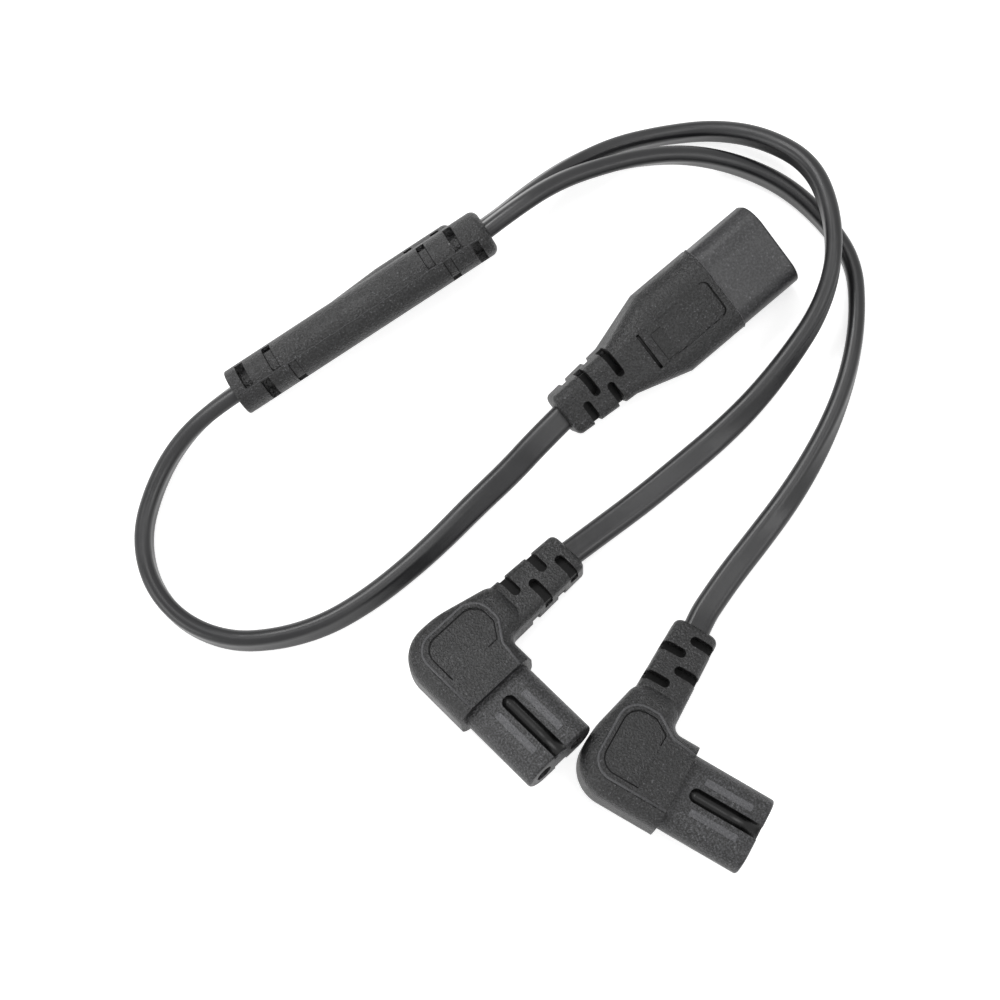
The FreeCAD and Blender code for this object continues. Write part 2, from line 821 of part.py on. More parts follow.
def build_plug(letter):
    elbow = elbow_form(letter)
    place = lay_on_floor(elbow, PLUGS[letter]["at"])
    nose = nose_form(letter, place)
    tail = -S["contact_back"] - S["tail_length"]
    contacts = []
    cores = []
    for side, word in ((1, "left"), (-1, "right")):
        across = S["pin_spacing"] / 2 * side
        inner = S["core_spacing"] / 2 * side - S["arm_centre"]
        contact_place = place * Placement(Vector(0, across.number, 0), Rotation())
        contacts.append(plug_contact(f"plug_{letter}_contact_{word}", contact_place))
        cores.append(core_wire(
            f"plug_{letter}_core_{word}", place, "YZ_Plane", tail, across,
            [(tail, across), (inner, across), (inner, S["arm_end"])],
            S["core_turn"].number,
        ))
    hard_nose = cut_out(f"plug_{letter}_nose", nose, contacts)
    cut_out(f"plug_{letter}_elbow", elbow, [hard_nose] + contacts + cores)
    return place


def ring_window(body, name, start, radius, depth, side, span, tilt, drop=None):
    """A window cut into one side of a round lobe, over an arc about the lobe's axis."""
    sketch = sketch_on(body, "XY_Plane", f"{name}_outline")
    sketch.AttachmentOffset = Placement(
        Vector(0, 0, -plain(drop or 0)), Rotation(Vector(1, 0, 0), side * plain(tilt or 0))
    )
    if drop is not None:
        sketch.setExpression(".AttachmentOffset.Base.z", (-drop).text)
    end = start + S["window_width"]
    inner = side * (radius - depth).number
    outer = side * (radius.number + 0.02)
    rounded_outline(sketch, [(start, inner, 0), (end, inner, 0), (end, outer, 0), (start, outer, 0)])
    cut = body.newObject("PartDesign::Groove", name)
    cut.Profile = sketch
    cut.ReferenceAxis = (sketch, ["H_Axis"])
    cut.setExpression("Angle", span.text)
    cut.Midplane = True
    return cut


def window_set(body, name, end, toward, first_side, span, tilt, notch_tilt, drop=None):
    """Four staggered windows near one end: two open ones, then two shallow ones with a notch."""
    radius = S["lobe_diameter"] / 2
    for step in range(4):
        side = first_side if step % 2 == 0 else -first_side
        reach = S["window_start"] + S["window_stagger"] * step
        start = end + reach if toward > 0 else end - reach - S["window_width"]
        depth = S["window_depth"] if step < 2 else S["window_shallow"]
        ring_window(body, f"{name}_{step + 1}", start, radius, depth, side, span, tilt, drop)
        if step >= 2:
            ring_window(
                body, f"{name}_notch_{step + 1}", start, radius, S["window_depth"], side,
                S["window_notch_span"], notch_tilt, drop,
            )


def splitter_form():
    """The moulded splitter: a round tube with a second, lower lobe that leaves it obliquely."""
    body = new_body("splitter_form", Placement(Vector(0, 0, 0), turned(*SPLITTER_TURN)))
    lobe_end = S["splitter_length"] - S["lobe_setback"]
    lobe_start = lobe_end - S["lobe_length"]
    down = -S["lobe_spacing"]
    lobe = sketch_on(body, "YZ_Plane", "lobe_outline", lobe_start)
    circle_at(lobe, S["lobe_diameter"], up=down)
    lower = pad(body, lobe, "lower_lobe", S["lobe_length"])
    fillet(
        body, lower, "lower_dome", S["lobe_round"],
        lambda edge: near(edge.BoundBox.XMin, lobe_end),
    )
    root = sketch_on(body, "YZ_Plane", "blend_root", lobe_start - S["lobe_blend"])
    circle_at(root, S["blend_diameter"])
    tip = sketch_on(body, "YZ_Plane", "blend_tip", lobe_start)
    circle_at(tip, S["lobe_diameter"], up=down)
    loft(body, "lobe_blend", root, tip)
    outline = sketch_on(body, "YZ_Plane", "tube_outline")
    circle_at(outline, S["lobe_diameter"])
    tube = pad(body, outline, "upper_tube", S["splitter_length"])
    domed = fillet(
        body, tube, "upper_dome", S["lobe_round"],
        lambda edge: near(edge.BoundBox.XMin, S["splitter_length"]),
    )
    fillet(body, domed, "tube_rim", S["rim_round"], lambda edge: near(edge.BoundBox.XMax, 0.0))
    span = S["window_span"]
    tilt = S["window_tilt"]
    notch = S["window_notch_tilt"]
    start = S["splitter_length"] * 0
    window_set(body, "left_window", start, 1, 1, span, tilt, notch)
    window_set(body, "left_under_window", start, 1, 1, span, -tilt, -notch)
    window_set(body, "upper_window", S["splitter_length"], -1, -1, span, tilt, notch)
    window_set(
        body, "lower_window", lobe_end, -1, 1,
        S["window_side_span"], S["window_side_tilt"], notch, S["lobe_spacing"],
    )
    window_set(body, "lower_under_window", lobe_end, -1, 1, span, -tilt, -notch, S["lobe_spacing"])
    return body


def straight_core(name, place, start, length, up):
    """A core that runs straight along X, raised above or below the axis."""
    body = new_body(name, place)
    section = sketch_on(body, "YZ_Plane", f"{name}_section", start)
    circle_at(section, S["core_diameter"], up=up)
    pad(body, section, f"{name}_run", length)
    return keep(body, name)


def branch_core(name, place, start, settled, end, across, up, drop):
    """A core that leaves a crimp beside its neighbour, slants to its lobe's axis and runs out."""
    body = new_body(name, place)
    stations = []
    for word, along, sideways, height in (
        ("crimped", start, across, up), ("settled", settled, None, up - drop),
    ):
        station = sketch_on(body, "YZ_Plane", f"{name}_{word}", along)
        circle_at(station, S["core_diameter"], across=sideways, up=height)
        stations.append(station)
    loft(body, f"{name}_slant", *stations)
    run = sketch_on(body, "YZ_Plane", f"{name}_exit", settled)
    circle_at(run, S["core_diameter"], up=up - drop)
    pad(body, run, f"{name}_run", end - settled)
    return keep(body, name)


def build_splitter():
    form = splitter_form()
    place = lay_on_floor(form, SPLITTER_AT)
    lobe_end = S["splitter_length"] - S["lobe_setback"]
    settled = lobe_end - S["core_lead"] * 2
    branch_start = S["crimp_start"] + S["crimp_length"]
    crimps = []
    cores = []
    for side, word in ((1, "upper"), (-1, "lower")):
        crimp = new_body(f"splice_crimp_{word}", place)
        oval = sketch_on(crimp, "YZ_Plane", f"crimp_{word}_outline", S["crimp_start"])
        oval.setExpression(".AttachmentOffset.Base.y", (S["crimp_spacing"] / 2 * side).text)
        stadium(oval, S["crimp_width"], S["crimp_height"])
        pad(crimp, oval, f"crimp_{word}", S["crimp_length"])
        crimps.append(keep(crimp, f"splice_crimp_{word}"))
        up = S["core_spacing"] / 2 * side
        spread = S["branch_core_spread"] / 2
        cores.append(straight_core(f"trunk_core_{word}", place, S["mould_start"] * 0, S["crimp_start"], up))
        cores.append(branch_core(
            f"branch_b_core_{word}", place, branch_start, settled, S["splitter_length"],
            spread, up, S["lobe_spacing"] * 0,
        ))
        cores.append(branch_core(
            f"branch_a_core_{word}", place, branch_start, settled, lobe_end,
            -spread, up, S["lobe_spacing"],
        ))
    block = new_body("splice_mould_form", place)
    section = sketch_on(block, "YZ_Plane", "mould_outline", S["mould_start"])
    rounded_rect(section, S["mould_width"], S["mould_height"], S["mould_corner"])
    pad(block, section, "mould_block", S["mould_length"])
    mould = cut_out("splitter_inner_mould", block, crimps + cores)
    cut_out("splitter_housing", form, [mould] + crimps + cores)
    return place


def build_cord(name, first, route, last):
    """A free cord: out of one gland, along its route and into another gland."""
    ends = []
    for place, point, away, lead in (first, last):
        gland = place.multVec(Vector(*(plain(value) for value in point)))
        axis = place.Rotation.multVec(Vector(*away))
        ends.append((gland, gland + axis * lead))
    points = [ends[0][0], ends[0][1], *(Vector(*spot) for spot in route), ends[1][1], ends[1][0]]
    radii = []

    def radius_at(shorter, half):
        radii.append(0.45 * shorter * math.tan(half))
        return radii[-1]

    spine = Part.Wire([piece.toShape() for piece in rounded_path(points, radius_at)])
    radius = S["cord_diameter"].number / 2
    ring = Part.Wire([Part.Circle(points[0], points[1] - points[0], radius).toShape()])
    tube = spine.makePipeShell([ring], True, False)
    expected = math.pi * radius ** 2 * spine.Length
    print(name, "length", round(spine.Length, 1), "radii", [round(value, 1) for value in radii])
    print(name, "volume", round(tube.Volume / expected, 4))
    print(name, "points", [tuple(round(value, 2) for value in point) for point in points])
    cord = doc.addObject("Part::Feature", name)
    cord.Shape = tube
    return keep(cord, name)


def check_parts():
    """Stop when any feature failed or any finished piece is empty or broken."""
    doc.recompute()
    for item in doc.Objects:
        if any(state in ("Invalid", "Error") for state in item.State):
            raise RuntimeError(f"{item.Name}: {item.State}")
    for piece in parts:
        if piece.Shape.isNull() or not piece.Shape.isValid() or len(piece.Shape.Solids) != 1:
            raise RuntimeError(f"{piece.Label}: empty, broken or in several lumps")
        print(piece.Label, round(piece.Shape.Volume, 1))


inlet = build_inlet()
splitter = build_splitter()
plugs = {letter: build_plug(letter) for letter in PLUGS}
doc.recompute()

inlet_gland = (-(S["inlet_length"] + S["inlet_taper"] + S["inlet_relief"]), 0, 0)
lower_gland = (S["splitter_length"] - S["lobe_setback"], 0, -S["lobe_spacing"])
upper_gland = (S["splitter_length"], 0, 0)
plug_gland = (-S["arm_centre"], S["arm_end"], 0)
build_cord(
    "trunk_cord", (inlet, inlet_gland, (-1, 0, 0), LEAD), TRUNK_ROUTE,
    (splitter, (0, 0, 0), (-1, 0, 0), LEAD),
)
build_cord(
    "branch_cord_a", (splitter, lower_gland, (1, 0, 0), LEAD), BRANCH_A_ROUTE,
    (plugs["a"], plug_gland, (0, 1, 0), LEAD),
)
build_cord(
    "branch_cord_b", (splitter, upper_gland, (1, 0, 0), LEAD), BRANCH_B_ROUTE,
    (plugs["b"], plug_gland, (0, 1, 0), SHORT_LEAD),
)
check_parts()

os.makedirs("parts", exist_ok=True)
for piece in parts:
    piece.Shape.exportStep(f"parts/{piece.Label}.step")
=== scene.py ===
import bpy
import json
import math
import numpy as np
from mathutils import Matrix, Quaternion, Vector

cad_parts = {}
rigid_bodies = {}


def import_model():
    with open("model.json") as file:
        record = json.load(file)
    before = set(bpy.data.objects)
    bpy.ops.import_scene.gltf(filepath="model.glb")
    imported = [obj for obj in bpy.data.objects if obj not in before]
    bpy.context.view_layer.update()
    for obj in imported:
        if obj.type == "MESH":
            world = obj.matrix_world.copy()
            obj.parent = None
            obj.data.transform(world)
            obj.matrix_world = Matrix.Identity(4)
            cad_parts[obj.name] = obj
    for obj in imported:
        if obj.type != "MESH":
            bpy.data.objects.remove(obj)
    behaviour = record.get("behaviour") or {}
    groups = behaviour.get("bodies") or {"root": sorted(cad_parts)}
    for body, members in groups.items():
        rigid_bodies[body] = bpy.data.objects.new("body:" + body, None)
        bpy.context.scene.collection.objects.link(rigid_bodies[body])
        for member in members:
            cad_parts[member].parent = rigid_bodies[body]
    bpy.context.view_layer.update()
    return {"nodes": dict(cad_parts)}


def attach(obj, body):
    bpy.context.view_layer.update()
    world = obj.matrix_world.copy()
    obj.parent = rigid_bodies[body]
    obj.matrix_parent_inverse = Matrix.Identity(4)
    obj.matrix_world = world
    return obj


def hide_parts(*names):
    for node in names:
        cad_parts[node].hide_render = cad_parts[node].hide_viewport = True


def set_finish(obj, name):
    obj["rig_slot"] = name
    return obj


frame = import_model()

# Each cord's free stretch: x, y and z in metres, then the turn of its flat side in degrees
# A turn of 0 lies flat on the floor, and a turn of -90 stands on edge
TRUNK = [
    (0.0019, 0.0188, 0.0073, -20),
    (-0.0056, 0.0182, 0.0073, -10),
    (-0.0136, 0.0174, 0.0052, -18),
    (-0.0227, 0.0171, 0.0035, -28),
    (-0.0325, 0.0163, 0.0026, -38),
    (-0.0416, 0.0160, 0.0025, -48),
    (-0.0511, 0.0164, 0.0026, -54),
    (-0.0605, 0.0181, 0.0026, -60),
    (-0.0692, 0.0220, 0.0027, -67),
    (-0.0766, 0.0278, 0.0027, -75),
    (-0.0810, 0.0365, 0.0027, -85),
    (-0.0810, 0.0461, 0.0027, -91),
    (-0.0764, 0.0547, 0.0027, -95),
    (-0.0685, 0.0603, 0.0032, -94),
    (-0.0599, 0.0637, 0.0043, -87),
    (-0.0506, 0.0644, 0.0064, -76),
    (-0.0433, 0.0634, 0.0073, -71),
]
BRANCH_A = [
    (0.0074, 0.0584, 0.0068, -71),
    (0.0148, 0.0571, 0.0078, -71),
    (0.0252, 0.0571, 0.0071, -70),
    (0.0349, 0.0566, 0.0054, -71),
    (0.0449, 0.0543, 0.0039, -79),
    (0.0541, 0.0495, 0.0034, -89),
    (0.0624, 0.0434, 0.0045, -97),
    (0.0682, 0.0353, 0.0068, -101),
    (0.0708, 0.0252, 0.0096, -97),
    (0.0674, 0.0156, 0.0109, -90),
    (0.0610, 0.0072, 0.0101, -83),
    (0.0526, 0.0018, 0.0079, -72),
    (0.0427, -0.0010, 0.0057, -57),
    (0.0326, -0.0029, 0.0037, -41),
    (0.0227, -0.0036, 0.0022, -20),
    (0.0123, -0.0035, 0.0018, -4),
    (0.0019, -0.0033, 0.0020, 4),
    (-0.0089, -0.0026, 0.0027, 13),
    (-0.0163, -0.0022, 0.0039, 13),
]
BRANCH_B = [
    (0.0117, 0.0553, 0.0144, -71),
    (0.0192, 0.0548, 0.0154, -71),
    (0.0291, 0.0540, 0.0138, -70),
    (0.0382, 0.0513, 0.0116, -70),
    (0.0474, 0.0473, 0.0091, -80),
    (0.0554, 0.0418, 0.0065, -89),
    (0.0618, 0.0342, 0.0043, -96),
    (0.0661, 0.0253, 0.0028, -97),
    (0.0672, 0.0151, 0.0027, -91),
    (0.0659, 0.0052, 0.0027, -82),
    (0.0594, -0.0031, 0.0028, -81),
    (0.0518, -0.0096, 0.0028, -80),
    (0.0432, -0.0148, 0.0027, -70),
    (0.0340, -0.0188, 0.0025, -50),
    (0.0245, -0.0218, 0.0023, -29),
    (0.0148, -0.0239, 0.0019, -7),
    (0.0066, -0.0255, 0.0019, 0),
    (0.0005, -0.0270, 0.0021, 0),
    (-0.0038, -0.0282, 0.0025, 0),
    (-0.0075, -0.0300, 0.0033, 0),
]

# Flat two-core cord, in metres
# The edge is how steeply its half circles meet the flats, and the hollow's reach a share of a flat
CORD_WIDTH = 0.0054
CORD_THICKNESS = 0.0034
CORD_HOLLOW = 0.00012
CORD_HOLLOW_REACH = 0.9
CORD_EDGE = 6.0
CORD_SIDES = 48
SPLINE_STEPS = 14
TURN_BLEND = 12

# Place, and turn as a quaternion, of each moulding's own axes in the row frame
INLET_PLACE = (0.0399, 0.0188, 0.007313)
INLET_TURN = (0.98481, 0.17365, 0.0, 0.0)
SPLITTER_PLACE = (-0.04425, 0.0635, 0.007203)
SPLITTER_TURN = (0.98246, 0.15974, -0.07454, -0.06075)
PLUG_PLACES = {"a": (-0.0440, -0.0142, 0.011061), "b": (-0.03015, -0.0496, 0.011282)}
PLUG_TURNS = {
    "a": (-0.72251, 0.13692, 0.02735, 0.67712),
    "b": (0.80819, -0.11358, 0.08042, -0.57223),
}

# Trim sizes are in millimetres in a moulding's own axes: x along it, y across it, z up from its middle
UP = (0.0, 0.0, 1.0)
ALONG = (1.0, 0.0, 0.0)
BEAD_SIDES = 8
ARC_POINTS = 9
UV_STEP = 0.001

# Web round the cord, inside each slotted relief: it closes the slots as their floor does, and is drawn near
# black as painted shade
WEB_HALF_HEIGHT = 1.78
INLET_WEB = [(-35.4, -4.3), (-24.2, -4.3), (-24.2, 4.3), (-35.4, 4.3)]
ARM_WEB = [(-15.6, 14.0), (-6.4, 14.0), (-6.7, 29.2), (-15.3, 29.2)]

# Seam between the inlet's housing and its shroud
# The inset is the share by which its lower half is drawn in, clear of the floor
SEAM_WIDTH = 18.75
SEAM_HEIGHT = 11.55
SEAM_CORNER = 4.8
SEAM_CORNER_POINTS = 24
SEAM_INSET = 0.026
SEAM_BEAD_WIDTH = 0.30
SEAM_BEAD_HEIGHT = 0.26
SEAM_WOBBLE = 0.03
SEAM_QUICK_WAVE = 1.7
SEAM_SLOW_WAVE = 0.37
FLASH_PLACE = (9.4, 0.9)
FLASH_SPREAD = 0.16
FLASH_WIDTH = 0.9
FLASH_HEIGHT = 0.35

# Bare sunk panel on the inlet's top, with a block that stands a little proud of its floor
# A line's corner is x, y and the radius of its arc
PANEL_FLOOR = 5.5
PANEL_FRONT = [(-3.0, 3.95, 0), (-1.6, 3.95, 1.2), (-1.6, -3.95, 1.2), (-2.6, -3.95, 0)]
PANEL_REAR_PLACE = -18.65
PANEL_REAR_REACH = 3.9
PANEL_REAR_HEIGHT = 5.32
BLOCK = [(-16.6, -3.7), (-14.0, -3.7), (-14.0, 2.4), (-16.6, 2.4)]
BLOCK_EDGE = [(-14.0, -3.7, 0), (-16.6, -3.7, 0.3), (-16.6, 2.4, 0.3), (-14.0, 2.4, 0)]
BLOCK_ROOT = 0.2
BLOCK_RISE = 0.05
BLOCK_EDGE_RISE = 0.02

# Plug's hard nose: the height of its flat, the pads on it and the key grooves in it
# A groove's lining opens from the tip's share of a quarter turn
NOSE_FLAT = 3.75
PAD_LENGTH = 10.0
PAD_WIDTH = 1.4
PAD_CORNER = 0.15
PAD_CORNER_POINTS = 3
PAD_PLACE = 8.9
PAD_OFFSET = 3.35
PAD_ROOT = 0.1
PAD_RISE = 0.05
GROOVE_RADIUS = 1.45
GROOVE_START = 2.33
GROOVE_MIDDLE = 10.0
GROOVE_END = 16.9
GROOVE_WALL = 0.04
GROOVE_TIP = 0.12
GROOVE_TIP_RINGS = 10
GROOVE_SIDES = 17

# Plug's elbow: its plateau, the label recess in it, and how far the recess's rim lies outside its edge
PLATEAU = [
    (-0.05, -6.1, 0), (-16.1, -6.1, 4.0), (-16.1, 9.8, 4.0),
    (-9.5, 9.8, 2.0), (-5.5, 7.0, 2.0), (-0.05, 6.2, 0),
]
PLATEAU_HEIGHTS = {"upper": 5.27, "lower": -5.13}
LABEL = [
    (-6.7, -4.8, 0), (-15.1, -4.8, 3.3), (-15.1, 8.8, 3.3),
    (-9.7, 8.8, 1.7), (-6.7, 6.7, 0.3), (-6.7, 4.5, 0),
]
LABEL_OFFSET = [(0.0, -0.3), (-0.3, -0.3), (-0.3, 0.3), (0.1, 0.3), (0.3, 0.2), (0.3, 0.0)]
LABEL_EDGE_HEIGHT = 5.07
LABEL_RIM_HEIGHT = 5.1

# Splitter: its length, its parting line and its shallow windows
# A window is given by its step along the pitch and the side that it lies on
SPLITTER_LENGTH = 58.0
PARTING_START = 0.6
PARTING_END = 56.2
PARTING_HEIGHT = 4.79
PARTING_SWAY = 0.05
PARTING_LEAST = 0.05
PARTING_SWELL = 0.09
PARTING_POINTS = 140
WINDOWS = ((2, 1), (3, -1))
WINDOW_START = 2.5
WINDOW_PITCH = 3.1
WINDOW_LENGTH = 1.8
WINDOW_INSET = 0.08
WINDOW_RADIUS = 4.51
WINDOW_TOP = math.radians(3.5)
WINDOW_FOOT = math.radians(57)
WINDOW_POINTS = 12
WINDOW_END_POINTS = 4

# Camera over the object, seen from 82 degrees above the floor
TARGET = Vector((-0.0183, 0.0150, 0.0))
EYE = Vector((-0.05626, -0.02945, 0.41591))
LENS = 76.8

# Studio: the floor, the light all round, and each soft box's place, width, height and watts
FLOOR_REACH = 3.0
FLOOR_COLOUR = (0.80, 0.80, 0.80, 1.0)
FLOOR_GLOW = 0.64
WORLD_LIGHT = 0.42
SOFT_BOXES = {
    "overhead_box": ((-0.05, 0.66, 0.72), 0.56, 0.34, 4.8),
    "side_box": ((-0.70, 0.10, 0.30), 0.5, 0.4, 1.6),
    "fill_box": ((0.25, -0.55, 0.80), 0.5, 0.4, 1.8),
    "ceiling_box": ((0.10, 0.06, 0.95), 0.4, 0.4, 1.2),
}

# Colours of the finishes, and how much paler than the moulding a trim piece of shade 1 is painted, as a
# painted highlight
DEEP_BLACK = (0.001, 0.001, 0.001)
DUST = (0.20, 0.20, 0.20)
CORD_DUST = (0.22, 0.22, 0.22)
PAINTED_HIGHLIGHT_GAIN = 5.0

# The first of these words that a solid's name holds gives its finish
FINISH_WORDS = [
    ("core", "core_insulation"),
    ("crimp", "plated_brass"),
    ("pin", "plated_brass"),
    ("contact", "plated_brass"),
    ("inner_mould", "inner_mould"),
    ("shroud", "satin_shroud"),
    ("nose", "black_hard_plastic"),
    ("cord", "black_cord"),
    ("", "black_moulding"),
]


def in_scene(name, data):
    """A new object that holds the data, linked to the scene."""
    thing = bpy.data.objects.new(name, data)
    bpy.context.scene.collection.objects.link(thing)
    return thing


def aim(thing, target):
    """Turn a camera or lamp so that it looks at the target."""
    thing.rotation_mode = "QUATERNION"
    thing.rotation_quaternion = (target - thing.location).to_track_quat("-Z", "Y")


def make_camera():
    """The camera at the photograph's viewing angle."""
    data = bpy.data.cameras.new("camera")
    data.lens = LENS
    data.sensor_width = 36.0
    camera = in_scene("camera", data)
    camera.location = EYE
    aim(camera, TARGET)
    bpy.context.scene.camera = camera


def unit(vectors):
    """Each vector divided by its own length."""
    return vectors / np.linalg.norm(vectors, axis=-1, keepdims=True)


def lengths_along(points):
    """How far along a line of points each one lies: the sum of the steps before it."""
    steps = np.linalg.norm(np.diff(points, axis=0), axis=1)
    return np.concatenate([[0.0], np.cumsum(steps)])


def uv_grid(around, along):
    """UV places for a tube's grid: metres round it by metres along it."""
    return np.stack(np.broadcast_arrays(around[None, :], along[:, None]), axis=-1)


def rings_along(path, side, across, top, up):
    """Rings round a path: each point is the path's, plus across times side, plus up times top."""
    return path[:, None, :] + across[..., None] * side[:, None, :] + up[..., None] * top[:, None, :]


def tube_mesh(name, rings, uv):
    """A closed tube from rings of points, shape (rings, sides, 3), with a flat cap at each end.

    Each ring joins the next by quads, side by side. In the UV map, the quad that closes a ring
    ends one full turn on."""
    count, sides, _ = rings.shape
    ring = np.arange(count - 1)[:, None] * sides
    side = np.arange(sides)[None, :]
    after = (side + 1) % sides
    quads = np.stack([ring + side, ring + after, ring + sides + after, ring + sides + side], axis=-1)
    first_cap = np.arange(sides)[::-1].tolist()
    last_cap = (np.arange(sides) + (count - 1) * sides).tolist()
    faces = quads.reshape(-1, 4).tolist() + [first_cap, last_cap]
    mesh = bpy.data.meshes.new(name)
    mesh.from_pydata(rings.reshape(-1, 3).tolist(), [], faces)
    corners = np.zeros(len(mesh.loops), int)
    mesh.loops.foreach_get("vertex_index", corners)
    corner_uv = uv.reshape(-1, 2)[corners]
    closing = corner_uv[:quads.size].reshape(count - 1, sides, 4, 2)[:, -1, 1:3, 0]
    closing += uv[0, -1, 0] + uv[0, 1, 0]
    mesh.uv_layers.new(name="UVMap").data.foreach_set("uv", corner_uv.ravel())
    mesh.shade_smooth()
    mesh.validate()
    return mesh


def centre_line(name, route):
    """Points of the NURBS spline that has the route as its control points."""
    curve = bpy.data.curves.new(name + "_line", "CURVE")
    curve.dimensions = "3D"
    curve.resolution_u = SPLINE_STEPS
    spline = curve.splines.new("NURBS")
    spline.points.add(len(route) - 1)
    for point, (x, y, z, _) in zip(spline.points, route):
        point.co = (x, y, z, 1.0)
    spline.order_u = 3
    spline.use_endpoint_u = True
    guide = in_scene(name + "_line", curve)
    bpy.context.view_layer.update()
    mesh = bpy.data.meshes.new_from_object(guide)
    points = np.zeros(len(mesh.vertices) * 3)
    mesh.vertices.foreach_get("co", points)
    bpy.data.meshes.remove(mesh)
    bpy.data.objects.remove(guide)
    bpy.data.curves.remove(curve)
    return points.reshape(-1, 3)


def cord_section():
    """The cord's outline: a half circle at each end of two flats that sink a little at their middle.

    A point at angle t sits at the centre of its half circle plus the half thickness in direction t.
    The centre changes side by a steep tanh of the cosine, and the flats sink by a bell curve."""
    angle = np.linspace(0, 2 * np.pi, CORD_SIDES, endpoint=False)
    radius = CORD_THICKNESS / 2
    reach = CORD_WIDTH / 2 - radius
    across = np.cos(angle) * radius + reach * np.tanh(CORD_EDGE * np.cos(angle))
    sink = CORD_HOLLOW * np.exp(-(across / (reach * CORD_HOLLOW_REACH)) ** 2)
    up = np.sin(angle) * (radius - sink)
    return np.stack([across, up], axis=1)


def flat_cord(name, route):
    """A flat cord swept along its spline.

    The section's wide axis starts level and square to the line, and is turned about the line
    by the route's angle, which is read between control points by length and then smoothed."""
    line = centre_line(name, route)
    control = np.array(route)
    along = lengths_along(line)
    reach = lengths_along(control[:, :3])
    turn = np.interp(along / along[-1], reach / reach[-1], np.radians(control[:, 3]))
    window = np.hanning(2 * TURN_BLEND + 1)
    turn = np.convolve(np.pad(turn, TURN_BLEND, mode="edge"), window / window.sum(), mode="valid")
    tangent = unit(np.gradient(line, axis=0))
    level = unit(np.cross(UP, tangent))
    upward = np.cross(tangent, level)
    cosine = np.cos(turn)[:, None]
    sine = np.sin(turn)[:, None]
    wide = cosine * level + sine * upward
    thin = cosine * upward - sine * level
    section = cord_section()
    rings = rings_along(line, wide, section[None, :, 0], thin, section[None, :, 1])
    uv = uv_grid(lengths_along(section), along)
    cord = in_scene(name + "_sheath", tube_mesh(name + "_sheath", rings, uv))
    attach(cord, "root")
    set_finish(cord, "black_cord")
    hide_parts(name)


def local_axes(place, turn):
    """A function that takes points in a moulding's axes, in millimetres, to the row frame in metres."""
    rotation = np.array(Quaternion(turn).to_matrix())

    def to_frame(points):
        return np.asarray(points) / 1000 @ rotation.T + np.array(place)

    return to_frame


def finish_piece(piece, slot, shade):
    """Give a small trim piece its slot, its body and how much darker or lighter it is painted; lighter is a
    painted highlight.
    """
    layer = piece.data.attributes.new("shade", "FLOAT", "POINT")
    layer.data.foreach_set("value", np.full(len(piece.data.vertices), shade))
    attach(piece, "root")
    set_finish(piece, slot)


def bead(name, to_frame, path, width, height, shade=0.0, reference=UP):
    """A thin bead along a path given in a moulding's own axes and millimetres.

    The section is an ellipse: half the width along the cross product of tangent and reference,
    half the height along the reference. Both may change along the path."""
    top = np.array([reference])
    side = unit(np.cross(unit(np.gradient(path, axis=0)), top))
    angle = np.linspace(0, 2 * np.pi, BEAD_SIDES, endpoint=False)
    across = np.broadcast_to(width, len(path))[:, None] / 2 * np.cos(angle)
    up = np.broadcast_to(height, len(path))[:, None] / 2 * np.sin(angle)
    rings = to_frame(rings_along(path, side, across, top, up))
    uv = uv_grid(np.arange(BEAD_SIDES) * UV_STEP / 10, lengths_along(path) / 1000)
    piece = in_scene(name, tube_mesh(name, rings, uv))
    finish_piece(piece, "black_moulding", shade)


def plate(name, slot, to_frame, outline, low, high, shade=0.0):
    """A flat plate: an outline of (x, y) corners carried from one height to another, ends closed."""
    count = len(outline)
    rings = np.stack([np.column_stack([outline, np.full(count, z)]) for z in (low, high)])
    uv = uv_grid(np.arange(count) * UV_STEP, np.array([0.0, UV_STEP]))
    mesh = tube_mesh(name, to_frame(rings), uv)
    mesh.shade_flat()
    piece = in_scene(name, mesh)
    finish_piece(piece, slot, shade)


def web(name, to_frame, outline):
    """The web in a slotted relief: a plate that reaches as far below the middle as above it. Its slit name
    dresses it near black, as painted shade.
    """
    plate(name, "black_moulding", to_frame, outline, -WEB_HALF_HEIGHT, WEB_HALF_HEIGHT)


def rounded_rectangle(width, height, corner, steps):
    """Points round a centred rectangle: a quarter circle about the centre of each corner's arc."""
    angle = np.radians((np.arange(4)[:, None] * 90 + np.linspace(0, 90, steps)[None, :]).ravel())
    across = np.repeat([1, -1, -1, 1], steps) * (width / 2 - corner)
    up = np.repeat([1, 1, -1, -1], steps) * (height / 2 - corner)
    return np.column_stack([across + corner * np.cos(angle), up + corner * np.sin(angle)])


def drawn(corners, height):
    """A line through (x, y, radius) corners at one height: straight runs joined by tangent arcs.

    An arc's points lie on its circle, in line with even steps along its chord."""
    spots = np.array(corners, float)
    share = np.linspace(0, 1, ARC_POINTS)[:, None]
    line = [spots[0, :2]]
    for before, corner, after in zip(spots, spots[1:], spots[2:]):
        spot = corner[:2]
        radius = corner[2]
        back = unit(before[:2] - spot)
        ahead = unit(after[:2] - spot)
        half = np.arccos(back @ ahead) / 2
        reach = radius / np.tan(half)
        centre = spot + unit(back + ahead) * radius / np.sin(half)
        first = spot + back * reach - centre
        last = spot + ahead * reach - centre
        line.append(centre + unit(first * (1 - share) + last * share) * radius)
    line.append(spots[-1, :2])
    line = np.vstack(line)
    return np.column_stack([line, np.full(len(line), height)])


